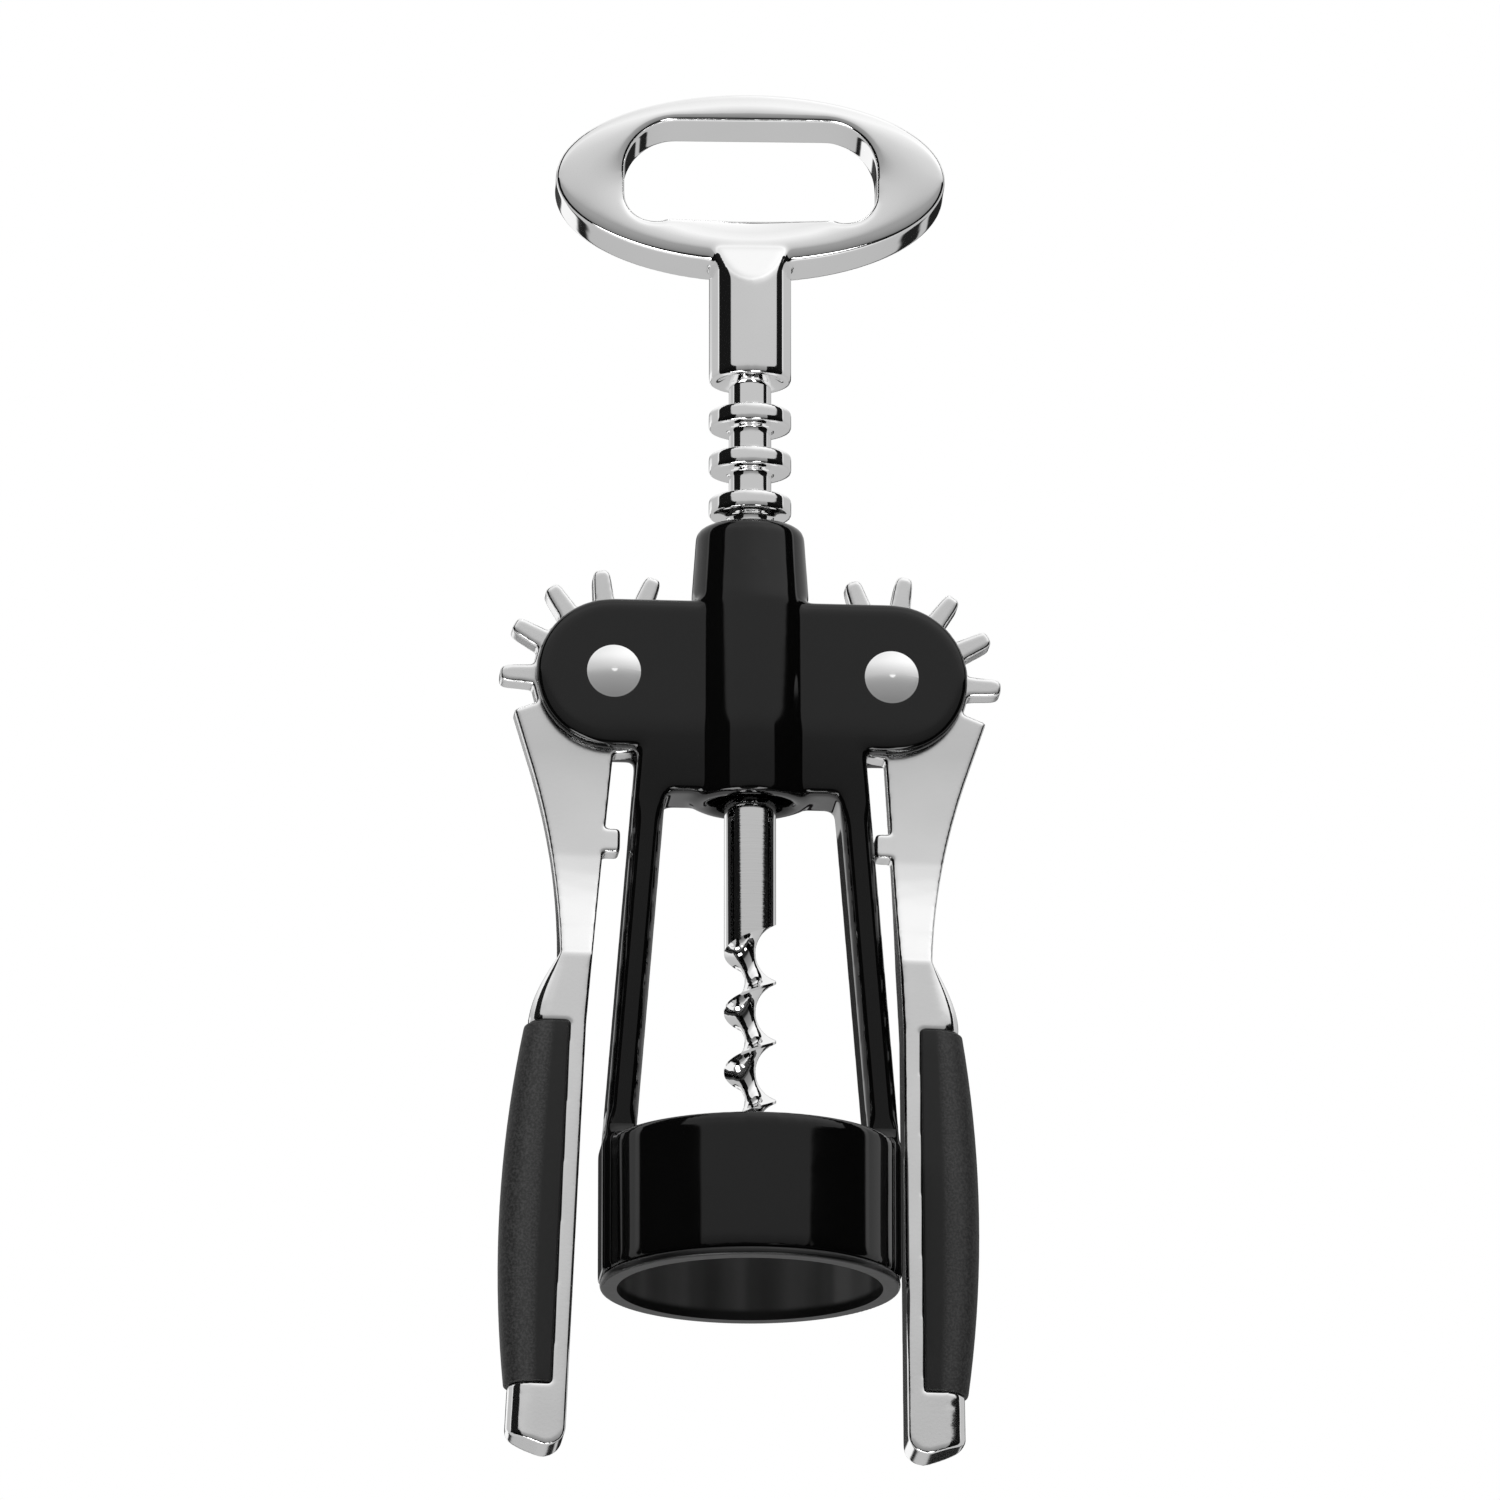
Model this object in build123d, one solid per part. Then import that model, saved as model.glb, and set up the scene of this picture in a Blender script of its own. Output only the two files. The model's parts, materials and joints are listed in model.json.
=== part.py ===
from build123d import *
import os
from math import acos, cos, pi, radians, sin, tan

# Wing corkscrew, in millimetres. The origin is the centre of the bell's mouth, +Z runs up the worm's
# axis, +X points to the right-hand lever and -Y is the front.

# ---- rack and gear: what sets the mechanism ----
pivot_z = 75.1             # height of the lever pivots above the bell's mouth
ring_pitch = 5.5           # spacing of the rings on the rack
ring_radius = 5.0          # outer radius of the rings
ring_thickness = 2.2
ring_edge = 0.28           # rounding of a ring's edges
stem_radius = 2.58         # rack between its rings
rings_up = 6               # rings above the one level with the pivots
rings_down = 2             # rings below it
rack_tail = 0.4            # stem left below the lowest ring
rack_neck = 3.7            # stem left above the highest ring
teeth_per_turn = 13        # tooth spacing of the gear sector, as teeth in a full turn
tooth_count = 8
addendum = 2.12            # tooth above the gear's pitch circle
dedendum = 1.78            # and below it
tooth_play = 0.8           # a tooth's root is this much narrower than the gap between two rings
tooth_shoulder = 1.0       # length of the tip where a tooth narrows faster
tooth_shoulder_taper = 0.36  # width lost from the root to that shoulder
tooth_tip_taper = 0.39     # width lost from there to the tip
tooth_tip_round = 0.6
plate_thickness = 3.6      # gear and upper lever
rest_angle = 1.1           # how far the left lever rests out of mid-mesh, and the right lever in

# ---- clearances ----
slide_gap = 0.10           # rack in the boss, all round
side_gap = 0.20            # lever plate to each cheek
tip_gap = 0.5              # tooth tips to the floor of the slot
mesh_gap = 0.69            # tooth tips to the rack's stem
pivot_gap = 0.06           # lever on its rivet
shank_gap = 0.05           # worm shank in the rack
rivet_seat_gap = 0.02      # rivet in its cheeks
liner_gap = 0.03           # liner in the bell
rack_end_gap = 0.12        # rack to the shoulder of the worm and to the head
nub_gap = 0.72             # stop nub to the leg, before the lever leans
bell_gap = 2.47            # end of the handle to the rib on the bell, before the lever leans

# ---- bell and its liner ----
bell_radius = 17.6
bell_height = 17.6
bell_wall = 1.05
bell_top = 4.6             # thickness of its top, above the ledge that the bottle's rim meets
bell_edge = 0.5
bell_throat = 12.75        # radius of the hole in the bell's top
liner_wall = 0.62
lip_height = 1.0           # liner lip below the bell
lip_reach = 0.35           # and out past it
lip_edge = 0.4

# ---- frame ----
cheek_thickness = 2.3
cheek_radius = 9.3         # round ends of the cheeks
web_drop = 14.8            # pivots down to the top of the window
frame_edge = 0.85          # rounding of the frame's outer edges
window_corner = 1.0
leg_width = 3.75
leg_inset = 3.02           # outside of a leg, at the bottom of the cheeks, in from the pivot
leg_foot_reach = 0.06      # outside of a leg past the bell, where they meet
rib_reach = 0.4            # rib that each leg leaves down the bell's side
boss_wall = 2.1
boss_top_wall = 1.4
boss_rise = 19.2           # pivots up to the top of the boss
boss_drop = 15.4           # pivots down to the bottom of the boss
boss_edge = 1.2
boss_foot_edge = 0.7

# ---- handle: opener loop and its socket ----
socket_recess = 1.0        # cone in the socket's end, which takes the top of the rack
recess_rim = 0.8           # wall left around the cone
facet_rise = 12.0          # from the socket's end up to the slanting facet on its front
facet_angle = 28           # slant of the facet from the vertical
loop_rise = 25.6           # from the socket's end up to the centre of the loop
loop_half_width = 23.7
loop_half_height = 10.72
loop_front = 2.6           # crest of the crowned front, in front of the worm's axis
loop_back = 4.9            # flat back, behind it
loop_draft = 0.6           # by the back, the loop is this much taller and its opening this much lower
crown_depth = 3.4          # how deep the crown's curve is
crown_x = 11.5             # and how far it reaches across the band, at the sides
crown_drop = 1.0           # the crest runs this far below the middle of the band
loop_edge = 0.4            # rounding of the loop's rims
handle_turn = 2.8          # the loop rests turned this far to the left, in degrees
opening_half_width = 15.35
opening_top = 7.26         # above the loop's centre
opening_bottom = 5.57      # below it
opening_top_corner = 6.4
opening_bottom_corner = 3.6
lip_margin = 0.95          # from the end of a bottom corner to the opener's raised lip
lip_rise = 0.3
lip_ramp = 0.5

# ---- worm ----
worm_radius = 3.125
worm_length = 47.08        # below the rack
worm_pitch = 7.37
worm_cut_radius = 3.5      # round of the helical groove
worm_core = 0.65           # material left between the groove's floor and the axis
groove_drop = 20.88        # from the worm's shoulder down to the groove's first turn, at the right
groove_lead_in = 110       # degrees that the groove runs on past that place, upwards
groove_overrun = 1.0       # how far it runs on below the point
worm_point_length = 6.1
shank_radius = 1.5
shank_depth = 12.0         # shank in the socket

# ---- lever, as (distance outwards from the pivot, height above it) seen from the front ----
pad_drop = 0.9             # corner of the plate below the last tooth, in from the tooth tips
pad_angle = 21             # that corner, in degrees below the pivot's level
waist_start_x = 9.3        # outer edge of the plate: straight to here, then one long curve
waist_start_z = -12.2
waist_middle_x = 6.95
waist_middle_z = -21.8
hub_side = -0.4            # inner edge of the plate, at the hub
plate_edge = 0.25          # rounding of the plate's rims, teeth included
ramp_start = -22.5         # the plate begins to thicken
ramp_length = 12.5         # and is then as thick as the handle
ramp_hollow = 0.3          # share of the ramp's rise that is reached halfway along it
handle_depth = 7.0
waist_width = 3.9          # width of the handle at the end of the ramp
shoulder_length = 8.5      # from there to the grip
upper_share = 0.33         # the shoulder swells a third of the way down
upper_width = 5.45
upper_round = 1.6
lower_share = 0.65         # and again at two thirds
lower_width = 6.5
lower_round = 2.2
shoulder_width = 6.77      # where the grip starts
shoulder_round = 2.6
shoulder_taper = 0.58      # how far the inner side runs outwards along the shoulder
handle_taper = 1.42        # and from there to the handle's end
handle_edge = 0.45         # rounding of the handle's inner side
handle_end_width = 7.15
handle_end_round = 3.1
tip_length = 8.6           # chrome below the grip
tip_slope = 0.36           # the end rises towards the outside
tip_round_in = 2.4
tip_round_out = 1.6
nub_top = -18.9            # stop nub, towards the leg
nub_height = 3.0
nub_edge = 0.45

# ---- grip ----
grip_length = 44.3
grip_strip = 2.05          # chrome left beside the grip
grip_top_width = 5.2
grip_middle_width = 7.0
grip_bottom_width = 5.45
grip_proud = 0.35          # grip past the handle, front and back
grip_round = 3.4           # outer side
grip_edge = 0.3            # inner side
grip_end_edge = 0.27       # top and bottom ends
grip_sections = 5
core_depth = 3.4           # chrome rib inside the grip
core_cover = 2.6           # rubber outside the rib
core_root = 1.0            # the rib starts this far inside the chrome strip

# ---- rivets ----
rivet_radius = 2.0
rivet_head_radius = 3.25
rivet_head_height = 1.15
rivet_tail_radius = 2.9
rivet_tail_height = 1.0

# ---- worked out from the sizes above ----
gear_radius = ring_pitch * teeth_per_turn / (2 * pi)
root_radius = gear_radius - dedendum
tooth_radius = gear_radius + addendum
tooth_step = 360 / teeth_per_turn
pivot_x = stem_radius + mesh_gap + tooth_radius
bore_radius = ring_radius + slide_gap
slot_width = plate_thickness + 2 * side_gap
slot_radius = tooth_radius + tip_gap
frame_depth = slot_width + 2 * cheek_thickness
shank_bore = shank_radius + shank_gap
ring_level = [pivot_z + ring_pitch * k for k in range(-rings_down, rings_up + 1)]
socket_bottom = ring_level[-1] + ring_thickness / 2 + rack_neck
loop_z = socket_bottom + loop_rise
rack_bottom = ring_level[0] - ring_thickness / 2 - rack_tail
rack_top = socket_bottom + socket_recess - rack_end_gap
worm_shoulder = rack_bottom - rack_end_gap
bell_bore = bell_radius - bell_wall
mouth_radius = bell_bore - liner_gap - liner_wall
bottle_seat = bell_height - bell_top
window_top = pivot_z - web_drop
leg_top_x = pivot_x - leg_inset
leg_top_z = pivot_z - cheek_radius
leg_foot_x = bell_radius + leg_foot_reach
rib_x = bell_radius + rib_reach
handle_top = ramp_start - ramp_length
grip_top = handle_top - shoulder_length
grip_bottom = grip_top - grip_length
handle_end = grip_bottom - tip_length
handle_end_in = rib_x + bell_gap - pivot_x
shoulder_in = handle_end_in - handle_taper
waist_in = shoulder_in - shoulder_taper


def column(radius, low, high):
    """Round bar on the worm's axis between two heights."""
    return Pos(0, 0, (low + high) / 2) * Cylinder(radius, high - low)


def turned(outline):
    """Solid of revolution about Z from a closed list of (radius, height) points."""
    return revolve(make_face(Plane.XZ * Polyline(*outline, close=True)), Axis.Z)


def front_slab(outline, depth):
    """Solid of an outline drawn in X and Z, as deep on the front as on the back."""
    return extrude(Plane.XZ * outline, depth / 2, both=True)


def round_edges(solid, radius):
    """Circular edges of one radius about the worm's axis."""
    return [e for e in solid.edges().filter_by(GeomType.CIRCLE) if abs(e.radius - radius) < 1e-3]


# ---------------------------------------------------------------- frame

def leg_outer_x(z):
    """Outside of the right leg at height z."""
    slope = (leg_foot_x - leg_top_x) / (leg_top_z - bell_height)
    return leg_foot_x - slope * (z - bell_height)


def legs_outline():
    right = [
        (0, pivot_z),
        (leg_top_x, pivot_z),
        (leg_top_x, leg_top_z),
        (leg_foot_x, bell_height),
        (rib_x, bell_height - bell_edge),
        (rib_x, lip_height),
    ]
    left = [(-x, z) for x, z in reversed(right[1:])]
    return make_face(Polyline(*right, *left, close=True))


def window_outline():
    """Opening between the legs, from inside the bell up to the web."""
    low = bell_height / 2
    high_x = leg_outer_x(window_top) - leg_width
    low_x = leg_outer_x(low) - leg_width
    window = make_face(Polyline(
        (high_x, window_top), (low_x, low), (-low_x, low), (-high_x, window_top), close=True,
    ))
    return fillet(window.vertices().sort_by(Axis.Y)[-2:], window_corner)


def cheeks_and_legs():
    """Front outline of the casting, made solid and rounded along its edges."""
    cheeks = Pos(0, pivot_z) * SlotCenterToCenter(2 * pivot_x, 2 * cheek_radius)
    slab = front_slab(cheeks + legs_outline() - window_outline(), frame_depth)
    rims = []
    for edge in slab.edges():
        flat = edge.bounding_box().size.Y < 1e-3
        if flat and abs(edge.center().Y) > 1 and edge.center().Z > bell_height / 2:
            rims.append(edge)
    return fillet(rims, frame_edge)


def boss():
    """Central barrel, straight past the cheeks and narrowing to the top."""
    barrel = turned([
        (0, pivot_z - boss_drop),
        (bore_radius + boss_wall, pivot_z - boss_drop),
        (bore_radius + boss_wall, pivot_z + cheek_radius),
        (bore_radius + boss_top_wall, pivot_z + boss_rise),
        (0, pivot_z + boss_rise),
    ])
    rims = barrel.edges().filter_by(GeomType.CIRCLE).sort_by(Axis.Z)
    barrel = fillet(rims[-1], boss_edge)
    foot = barrel.edges().filter_by(GeomType.CIRCLE).sort_by(Axis.Z)[0]
    return fillet(foot, boss_foot_edge)


def bell():
    """Bell that takes the bottle's neck, with the throat that the worm passes through."""
    shell = turned([
        (bell_bore, lip_height),
        (bell_radius, lip_height),
        (bell_radius, bell_height),
        (bell_throat, bell_height),
        (bell_throat, bottle_seat),
        (bell_bore, bottle_seat),
    ])
    return fillet(round_edges(shell, bell_radius) + round_edges(shell, bell_throat), bell_edge)


def frame_body():
    inside = column(bell_bore, 0, bottle_seat) + column(bell_throat, 0, bell_height + window_corner)
    body = (cheeks_and_legs() - inside) + bell() + boss()
    body -= column(bore_radius, bell_height, pivot_z + 2 * boss_rise)
    for side in (-1, 1):
        pivot = Pos(side * pivot_x, pivot_z)
        body -= front_slab(pivot * Circle(slot_radius), slot_width)
        body -= front_slab(pivot * Circle(rivet_radius + rivet_seat_gap), 2 * frame_depth)
    return body


def bell_liner():
    """Plastic ring inside the bell: a sleeve with a lip that closes the bell's edge."""
    lip_radius = bell_radius + lip_reach
    ring = turned([
        (mouth_radius, 0),
        (lip_radius, 0),
        (lip_radius, lip_height),
        (bell_bore - liner_gap, lip_height),
        (bell_bore - liner_gap, bottle_seat),
        (mouth_radius, bottle_seat),
    ])
    return fillet(round_edges(ring, lip_radius), lip_edge)


def dome_shoulder(radius, height):
    """Point halfway along a dome's section, as (distance from its axis, height above its rim)."""
    ball = (radius ** 2 + height ** 2) / (2 * height)
    angle = acos(1 - height / ball) / 2
    return (ball * sin(angle), height - ball + ball * cos(angle))


def rivet(side):
    """Pivot rivet: shank through both cheeks, domed head in front and a flatter one behind."""
    face = frame_depth / 2
    head = dome_shoulder(rivet_head_radius, rivet_head_height)
    tail = dome_shoulder(rivet_tail_radius, rivet_tail_height)
    front = (0, -face - rivet_head_height)
    back = (0, face + rivet_tail_height)
    section = Polyline(front, back)
    section += ThreePointArc(back, (tail[0], face + tail[1]), (rivet_tail_radius, face))
    section += Polyline(
        (rivet_tail_radius, face), (rivet_radius, face), (rivet_radius, -face), (rivet_head_radius, -face),
    )
    section += ThreePointArc((rivet_head_radius, -face), (head[0], -face - head[1]), front)
    return Pos(side * pivot_x, 0, pivot_z) * revolve(make_face(section), Axis.Y)


# ---------------------------------------------------------------- rack, head and worm

def ring_rack():
    """Tube with rings at an even pitch: teeth that stay in mesh however the handle is turned."""
    tube = column(stem_radius, rack_bottom, rack_top)
    disc = fillet(Cylinder(ring_radius, ring_thickness).edges().filter_by(GeomType.CIRCLE), ring_edge)
    for level in ring_level:
        tube += Pos(0, 0, level) * disc
    return tube - column(shank_bore, rack_bottom - 1, rack_top + 1)


def opening_outline(draft):
    """Bottle opener's hole: round top corners, tighter bottom corners and a raised straight lip."""
    width = opening_half_width
    top = opening_top - draft
    bottom = draft - opening_bottom
    hole = make_face(Polyline((-width, bottom), (-width, top), (width, top), (width, bottom), close=True))
    hole = fillet(hole.vertices().sort_by(Axis.Y)[-2:], opening_top_corner)
    hole = fillet(hole.vertices().sort_by(Axis.Y)[:2], opening_bottom_corner)
    foot = opening_half_width - opening_bottom_corner - lip_margin
    crest = foot - lip_ramp
    lip = make_face(Polyline(
        (-foot, bottom - 1), (-foot, bottom), (-crest, bottom + lip_rise),
        (crest, bottom + lip_rise), (foot, bottom), (foot, bottom - 1), close=True,
    ))
    return hole - lip


def loft_through(outline, front, back):
    """Solid between two depths whose outline follows the loop's draft."""
    slices = []
    for y in (front, back):
        draft = loop_draft * (y + loop_front) / (loop_front + loop_back)
        slices.append(Plane.XZ.offset(-y) * Pos(0, loop_z) * outline(draft))
    return loft(slices, ruled=True)


def oval_outline(draft):
    return Ellipse(loop_half_width, loop_half_height + draft)


def loop():
    """Oval loop with a flat back. Its crowned front is a flattened torus that follows the band."""
    middle_x = (loop_half_width + opening_half_width) / 2
    middle_top = (loop_half_height + opening_top) / 2
    middle_bottom = (loop_half_height + opening_bottom) / 2
    middle_y = crown_depth - loop_front
    tube = crown_x / middle_x
    stretch = (middle_x, crown_depth / tube, (middle_top + middle_bottom) / 2)
    upright = Rot(90, 0, 0) * Rot(0, 0, 90) * Torus(1, tube)   # seam at the top of the loop
    crown = scale(upright, by=stretch)
    crown = Pos(0, middle_y, loop_z + (middle_top - middle_bottom) / 2 - crown_drop) * crown
    oval = loft_through(oval_outline, -loop_front, loop_back)
    hole = loft_through(opening_outline, -loop_front - 1, loop_back + 1)
    depth = loop_front + loop_back
    behind = front_slab(Pos(0, loop_z) * Circle(2 * loop_half_width), 2 * depth)
    behind = Pos(0, middle_y + depth, 0) * behind
    band = (oval & crown) + (oval & behind) - hole
    return fillet([e for e in band.edges() if e.bounding_box().size.Y < depth / 2], loop_edge)


def socket():
    """Round neck below the loop, cut by a slanting facet that runs up into the loop's front."""
    top = loop_z - opening_bottom - 1
    start = socket_bottom + facet_rise
    rise = top + 1 - start
    run = rise * tan(radians(facet_angle))
    front = -ring_radius
    outline = [
        (front - 1, start), (front, start), (front + run, start + rise), (front - 1, start + rise),
    ]
    wedge = extrude(make_face(Plane.YZ * Polyline(*outline, close=True)), 2 * ring_radius, both=True)
    return column(ring_radius, socket_bottom, top) - wedge


def opener_head():
    recess = turned([
        (0, socket_bottom),
        (ring_radius - recess_rim, socket_bottom),
        (stem_radius + slide_gap, socket_bottom + socket_recess),
        (0, socket_bottom + socket_recess),
    ])
    head = loop() + socket() - recess - column(shank_radius, socket_bottom, socket_bottom + shank_depth)
    return Rot(0, 0, -handle_turn) * head


def worm():
    """Screw with one deep helical groove, right-handed, and a thin shank up into the head."""
    point = worm_shoulder - worm_length
    blank = turned([
        (0, point),
        (worm_radius, point + worm_point_length),
        (worm_radius, worm_shoulder),
        (shank_radius, worm_shoulder),
        (shank_radius, socket_bottom + shank_depth),
        (0, socket_bottom + shank_depth),
    ])
    right_z = worm_shoulder - groove_drop
    top = right_z + worm_pitch * groove_lead_in / 360
    bottom = point - groove_overrun
    turn = Rot(0, 0, 360 * (bottom - right_z) / worm_pitch)
    path = Pos(0, 0, bottom) * turn * Helix(worm_pitch, top - bottom, worm_core + worm_cut_radius)
    section = Plane(path @ 0, z_dir=path % 0) * Circle(worm_cut_radius)
    return blank - sweep(section, path, is_frenet=True)


# ---------------------------------------------------------------- levers
# A lever is drawn for the right-hand side, with its pivot at the origin and +X pointing outwards.

def tooth():
    """One gear tooth pointing along +X, from inside the root circle to its rounded tip."""
    root_width = ring_pitch - ring_thickness - tooth_play
    middle_width = root_width - tooth_shoulder_taper
    tip_width = middle_width - tooth_tip_taper
    half = [
        (root_radius - 1, root_width / 2),
        (root_radius, root_width / 2),
        (tooth_radius - tooth_shoulder, middle_width / 2),
        (tooth_radius, tip_width / 2),
    ]
    other = [(x, -y) for x, y in reversed(half)]
    outline = make_face(Polyline(*half, *other, close=True))
    return fillet(outline.vertices().sort_by(Axis.X)[-2:], min(tooth_tip_round, 0.45 * tip_width))


def gear_outline():
    """Gear sector: its teeth start half a step below the line to the rack."""
    gear = Circle(root_radius)
    for n in range(tooth_count):
        gear += Rot(0, 0, 180 + tooth_step / 2 - n * tooth_step) * tooth()
    return gear


def plate_outline():
    """Flat upper part of the lever, from inside the gear to the top of the handle."""
    low = radians(-pad_angle)
    pad_radius = tooth_radius - pad_drop
    corner = (pad_radius * cos(low), pad_radius * sin(low))
    root = ((root_radius - 1) * cos(low), (root_radius - 1) * sin(low))
    waist_start = (waist_start_x, waist_start_z)
    waist_middle = (waist_middle_x, waist_middle_z)
    waist_end = (waist_in + waist_width, handle_top)
    edge = Polyline(root, corner, waist_start) + ThreePointArc(waist_start, waist_middle, waist_end)
    edge += Polyline(waist_end, (waist_in, handle_top), (hub_side, 1 - root_radius), (0, 0), root)
    return make_face(edge)


def nub_outline():
    """Stop on the inner edge, which comes close to the frame's leg when the lever is down."""
    bottom = nub_top - nub_height
    reach = pivot_x - leg_outer_x(pivot_z + nub_top - nub_height / 2) - nub_gap
    root = waist_width / 2
    nub = make_face(Polyline(
        (root, bottom), (-reach, bottom), (-reach, nub_top), (root, nub_top), close=True,
    ))
    return fillet(nub.vertices().sort_by(Axis.X)[:2], nub_edge)


def thickness_profile():
    """Plate seen from the side: thin at the gear, then a hollow ramp out to the handle's depth."""
    thin = plate_thickness / 2
    thick = handle_depth / 2
    dip = thin + ramp_hollow * (thick - thin)
    halfway = (ramp_start + handle_top) / 2
    front = Line((-thin, tooth_radius), (-thin, ramp_start))
    front += ThreePointArc((-thin, ramp_start), (-dip, halfway), (-thick, handle_top))
    back = Line((thin, tooth_radius), (thin, ramp_start))
    back += ThreePointArc((thin, ramp_start), (dip, halfway), (thick, handle_top))
    ends = Line((-thin, tooth_radius), (thin, tooth_radius)) + Line((-thick, handle_top), (thick, handle_top))
    return make_face(Plane.YZ * (front + back + ends))


def cross_section(height, inside, width, depth, inner_round, outer_round):
    """Section across a handle or grip: nearly square on the inner side, full and round on the outer."""
    half = depth / 2
    outside = inside + width
    section = make_face(Polyline(
        (inside, -half), (outside, -half), (outside, half), (inside, half), close=True,
    ))
    section = fillet(section.vertices().sort_by(Axis.X)[-2:], outer_round)
    section = fillet(section.vertices().sort_by(Axis.X)[:2], inner_round)
    return Pos(0, 0, height) * section


def handle_inside(height):
    """Inner side of the handle at a height beside the grip or below it."""
    share = (grip_top - height) / (grip_top - handle_end)
    return shoulder_in + share * handle_taper


def grip_start_section():
    """Handle's section where the shoulder ends and the grip starts."""
    return cross_section(grip_top, shoulder_in, shoulder_width, handle_depth, handle_edge, shoulder_round)


def shoulder():
    """Bulge that swells from the waist of the plate out to the grip."""
    sections = [cross_section(handle_top, waist_in, waist_width, handle_depth, plate_edge, plate_edge)]
    swell = [(upper_share, upper_width, upper_round), (lower_share, lower_width, lower_round)]
    for share, width, rounding in swell:
        inside = waist_in + share * shoulder_taper
        height = handle_top - share * shoulder_length
        sections.append(cross_section(height, inside, width, handle_depth, handle_edge, rounding))
    return loft(sections + [grip_start_section()])


def handle_below():
    """Handle beside and below the grip, with its end cut on a slope and rounded."""
    past = handle_end - 1
    last = cross_section(
        past, handle_inside(past), handle_end_width, handle_depth, handle_edge, handle_end_round,
    )
    bar = loft([grip_start_section(), last], ruled=True)
    corner_in = (handle_end_in, handle_end)
    corner_out = (handle_end_in + handle_end_width, handle_end + tip_slope * handle_end_width)
    limit = make_face(Polyline(
        (handle_inside(grip_top), grip_top), corner_in, corner_out, (corner_out[0], grip_top), close=True,
    ))
    limit = fillet(limit.vertices().sort_by_distance(corner_out)[0], tip_round_out)
    limit = fillet(limit.vertices().sort_by_distance(corner_in)[0], tip_round_in)
    return bar & front_slab(limit, 2 * handle_depth)


def grip_inside(height):
    return handle_inside(height) + grip_strip


def grip_width(height):
    """Width of the grip, a parabola through its three widths."""
    middle = (grip_top + grip_bottom) / 2
    t = (height - middle) / (grip_length / 2)
    taper = (grip_top_width - grip_bottom_width) / 2
    hollow = (grip_top_width + grip_bottom_width) / 2 - grip_middle_width
    return grip_middle_width + t * taper + t * t * hollow


def core_outline():
    """Chrome rib that the grip is moulded around."""
    heights = (grip_top, (grip_top + grip_bottom) / 2, grip_bottom)
    outer = [(grip_inside(h) + grip_width(h) - core_cover, h) for h in heights]
    start = (handle_inside(grip_top) + core_root, grip_top)
    end = (handle_inside(grip_bottom) + core_root, grip_bottom)
    return make_face(Polyline(start, *outer, end, close=True))


def pocket_outline():
    """Space of the grip, seen from the front and opened on its outer side."""
    start = (grip_inside(grip_top), grip_top)
    end = (grip_inside(grip_bottom), grip_bottom)
    far = handle_end_in + 2 * handle_end_width
    return make_face(Polyline(start, (far, grip_top), (far, grip_bottom), end, close=True))


def plate():
    """Gear and upper lever with the stop nub, its rims rounded except along the foot of the ramp."""
    solid = front_slab(gear_outline() + plate_outline(), 2 * handle_depth)
    solid &= extrude(thickness_profile(), 2 * tooth_radius, both=True)
    solid += front_slab(nub_outline(), plate_thickness)
    rims = []
    for edge in solid.edges():
        height = edge.center().Z
        across = edge.bounding_box().size.Y > plate_thickness - 1e-3
        if not across and height > handle_top + 1e-3 and abs(height - ramp_start) > 1e-3:
            rims.append(edge)
    return fillet(rims, plate_edge)


def lever():
    handle = handle_below() - front_slab(pocket_outline(), 2 * handle_depth)
    body = plate() + shoulder() + handle + front_slab(core_outline(), core_depth)
    return body - front_slab(Circle(rivet_radius + pivot_gap), 2 * handle_depth)


def grip():
    heights = [grip_top - grip_length * n / (grip_sections - 1) for n in range(grip_sections)]
    depth = handle_depth + 2 * grip_proud
    sections = []
    for h in heights:
        sections.append(cross_section(h, grip_inside(h), grip_width(h), depth, grip_edge, grip_round))
    body = loft(sections)
    ends = [e for f in body.faces().filter_by(Axis.Z) for e in f.outer_wire().edges()]
    body = fillet(ends, grip_end_edge)
    return body - front_slab(core_outline(), core_depth)


def in_place(solid, side):
    """Turns a lever or grip to its rest angle, mirrors it for the left and sets it on its pivot."""
    leaned = Rot(0, side * rest_angle, 0) * solid
    if side < 0:
        leaned = mirror(leaned, Plane.YZ)
    return Pos(side * pivot_x, 0, pivot_z) * leaned


lever_shape = lever()
grip_shape = grip()
pieces = {
    "frame_body": frame_body(),
    "bell_liner": bell_liner(),
    "ring_rack": ring_rack(),
    "opener_head": opener_head(),
    "worm": worm(),
    "left_lever": in_place(lever_shape, -1),
    "right_lever": in_place(lever_shape, 1),
    "left_grip": in_place(grip_shape, -1),
    "right_grip": in_place(grip_shape, 1),
    "left_rivet": rivet(-1),
    "right_rivet": rivet(1),
}

os.makedirs("parts", exist_ok=True)
for name, solid in pieces.items():
    export_step(solid, f"parts/{name}.step")
    print(name, round(solid.volume, 1), "mm3", "valid" if solid.is_valid else "NOT VALID")
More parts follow.
